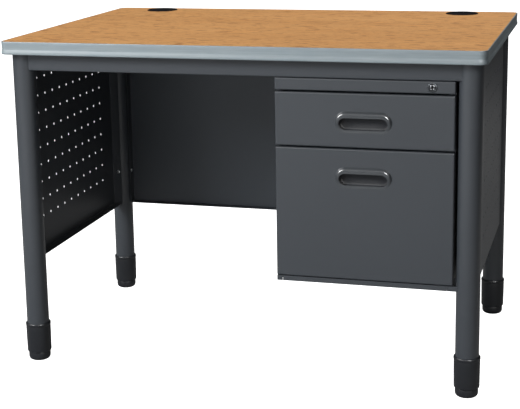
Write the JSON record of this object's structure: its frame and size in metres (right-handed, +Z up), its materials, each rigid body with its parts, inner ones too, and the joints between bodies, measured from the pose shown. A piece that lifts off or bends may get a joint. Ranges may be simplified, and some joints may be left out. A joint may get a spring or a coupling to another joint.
{
  "type": "teacher desk",
  "caption": "Single-pedestal teacher desk: wood-grain top with grey edge band, round steel legs, perforated side panels, modesty panel and a locking box drawer and file drawer.",
  "frame": {"origin": "on the floor under the centre of the desk's bounding box", "axes": "+X to the sitter's right along the long front edge, +Y to the back of the desk, +Z up"},
  "size_m": [1.067, 0.749, 0.751],
  "materials": {
    "oak_laminate": "satin wood-grain laminate",
    "particle_board": "raw particle board",
    "edge_band": "satin",
    "powder_coated_steel": "semi-gloss powder coat",
    "black_plastic": "satin",
    "zinc_plated_steel": "bright zinc plate"
  },
  "bodies": {
    "frame": {"desktop_core": "particle_board", "desktop_laminate": "oak_laminate", "edge_band": "edge_band", "left_grommet_sleeve": "black_plastic", "right_grommet_sleeve": "black_plastic", "front_left_leg": "powder_coated_steel", "front_left_foot_cap": "black_plastic", "front_right_leg": "powder_coated_steel", "front_right_foot_cap": "black_plastic", "rear_left_leg": "powder_coated_steel", "rear_left_foot_cap": "black_plastic", "rear_right_leg": "powder_coated_steel", "rear_right_foot_cap": "black_plastic", "front_apron": "powder_coated_steel", "left_side_panel": "powder_coated_steel", "right_side_panel": "powder_coated_steel", "modesty_panel": "powder_coated_steel", "left_panel_screw": "zinc_plated_steel", "left_modesty_screw": "zinc_plated_steel", "right_panel_screw": "zinc_plated_steel", "right_modesty_screw": "zinc_plated_steel", "pedestal_left_side": "powder_coated_steel", "pedestal_right_side": "powder_coated_steel", "pedestal_back": "powder_coated_steel", "pedestal_top": "powder_coated_steel", "pedestal_bottom": "powder_coated_steel", "pedestal_leg_bracket": "powder_coated_steel", "lock_strip": "powder_coated_steel", "lock_housing": "zinc_plated_steel", "upper_bar_guide": "zinc_plated_steel", "lower_bar_guide": "zinc_plated_steel", "box_slide_left_case_member": "zinc_plated_steel", "file_slide_left_case_member": "zinc_plated_steel", "box_slide_right_case_member": "zinc_plated_steel", "file_slide_right_case_member": "zinc_plated_steel"},
    "box_drawer": {"box_drawer_front": "powder_coated_steel", "box_drawer_pull": "powder_coated_steel", "box_drawer_tray": "powder_coated_steel", "box_slide_left_drawer_member": "zinc_plated_steel", "box_slide_right_drawer_member": "zinc_plated_steel"},
    "file_drawer": {"file_drawer_front": "powder_coated_steel", "file_drawer_pull": "powder_coated_steel", "file_drawer_tray": "powder_coated_steel", "left_hanging_rail": "zinc_plated_steel", "right_hanging_rail": "zinc_plated_steel", "file_slide_left_drawer_member": "zinc_plated_steel", "file_slide_right_drawer_member": "zinc_plated_steel"},
    "file_slide_middle": {"file_slide_left_middle_member": "zinc_plated_steel", "file_slide_right_middle_member": "zinc_plated_steel"},
    "lock_cylinder": {"lock_plug": "zinc_plated_steel", "lock_rod": "zinc_plated_steel", "lock_crank": "zinc_plated_steel"},
    "lock_bar": {"lock_bar": "zinc_plated_steel"},
    "left_grommet_cap": {"left_grommet_cap": "black_plastic"},
    "right_grommet_cap": {"right_grommet_cap": "black_plastic"},
    "front_left_glide": {"front_left_leveling_glide": "black_plastic"},
    "front_right_glide": {"front_right_leveling_glide": "black_plastic"},
    "rear_left_glide": {"rear_left_leveling_glide": "black_plastic"},
    "rear_right_glide": {"rear_right_leveling_glide": "black_plastic"}
  },
  "joints": [
    {"name": "box_drawer_slide", "type": "slide", "parent": "frame", "child": "box_drawer", "axis": [0, -1, 0], "range_m": [0, 0.36]},
    {"name": "file_drawer_slide", "type": "slide", "parent": "frame", "child": "file_drawer", "axis": [0, -1, 0], "range_m": [0, 0.46]},
    {"name": "file_middle_slide", "type": "slide", "parent": "frame", "child": "file_slide_middle", "axis": [0, -1, 0], "range_m": [0, 0.23]},
    {"name": "lock_turn", "type": "hinge", "parent": "frame", "child": "lock_cylinder", "pos_m": [0.419, 0, 0.668], "axis": [0, 1, 0], "range_deg": [0, 90]},
    {"name": "lock_bar_lift", "type": "slide", "parent": "frame", "child": "lock_bar", "axis": [0, 0, 1], "range_m": [0, 0.012]},
    {"name": "left_grommet_cap_turn", "type": "hinge", "parent": "frame", "child": "left_grommet_cap", "pos_m": [-0.398, 0.322, 0.749], "axis": [0, 0, 1], "continuous": true},
    {"name": "right_grommet_cap_turn", "type": "hinge", "parent": "frame", "child": "right_grommet_cap", "pos_m": [0.398, 0.322, 0.749], "axis": [0, 0, 1], "continuous": true},
    {"name": "front_left_glide_height", "type": "slide", "parent": "frame", "child": "front_left_glide", "axis": [0, 0, 1], "range_m": [-0.02, 0]},
    {"name": "front_right_glide_height", "type": "slide", "parent": "frame", "child": "front_right_glide", "axis": [0, 0, 1], "range_m": [-0.02, 0]},
    {"name": "rear_left_glide_height", "type": "slide", "parent": "frame", "child": "rear_left_glide", "axis": [0, 0, 1], "range_m": [-0.02, 0]},
    {"name": "rear_right_glide_height", "type": "slide", "parent": "frame", "child": "rear_right_glide", "axis": [0, 0, 1], "range_m": [-0.02, 0]}
  ],
  "couplings": [
    {"joint": "file_middle_slide", "follows": "file_drawer_slide", "ratio": 0.5},
    {"joint": "lock_turn", "follows": "lock_bar_lift", "rad_per_m": 130.8}
  ]
}
